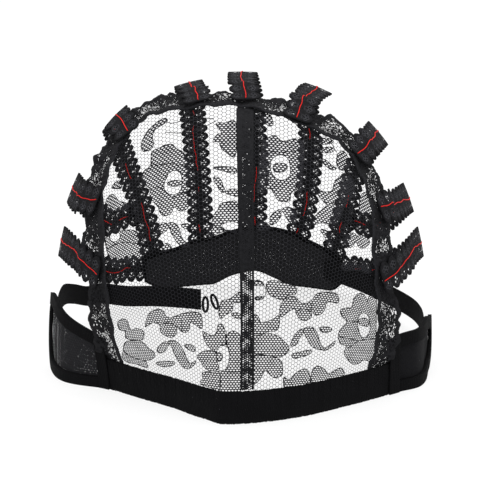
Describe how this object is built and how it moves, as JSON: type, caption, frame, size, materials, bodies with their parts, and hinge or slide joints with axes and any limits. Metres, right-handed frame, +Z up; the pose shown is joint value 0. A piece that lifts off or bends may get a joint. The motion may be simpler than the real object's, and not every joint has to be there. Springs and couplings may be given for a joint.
{
  "type": "hair net",
  "caption": "Black flower lace dome cap with an elastic front band, ear tabs, scalloped lace tapes over the crown and a mesh nape piece.",
  "frame": {"origin": "middle of the whole box's underside, in the plane that the rim rests on", "axes": "+Z up, the front of the cap faces -Y, +X to the right as seen from the front"},
  "size_m": [0.1688, 0.1822, 0.123],
  "materials": {
    "flower_lace": "matte thread",
    "mesh_lace": "matte thread",
    "knit_elastic": "matte ribbed knit",
    "lace_tape": "matte thread",
    "red_stitch": "matte thread"
  },
  "bodies": {
    "root": {"lace_left": "flower_lace", "lace_right": "flower_lace", "centre_seam": "mesh_lace", "edge_trim": "mesh_lace", "front_band": "knit_elastic", "ear_tab_left": "mesh_lace", "ear_tab_right": "mesh_lace", "ear_top_left": "knit_elastic", "ear_top_right": "knit_elastic", "ear_foot_left": "knit_elastic", "ear_foot_right": "knit_elastic", "nape_panel": "mesh_lace", "nape_top": "knit_elastic", "nape_foot": "knit_elastic", "crown_tape_1": "lace_tape", "crown_tape_2": "lace_tape", "crown_tape_3": "lace_tape", "crown_tape_4": "lace_tape", "crown_tape_5": "lace_tape", "side_tape_high_left": "lace_tape", "side_tape_high_right": "lace_tape", "side_tape_low_left": "lace_tape", "side_tape_low_right": "lace_tape", "strap_left": "knit_elastic", "strap_right": "knit_elastic", "strap_loop_near": "knit_elastic", "strap_loop_far": "knit_elastic"}
  },
  "joints": []
}
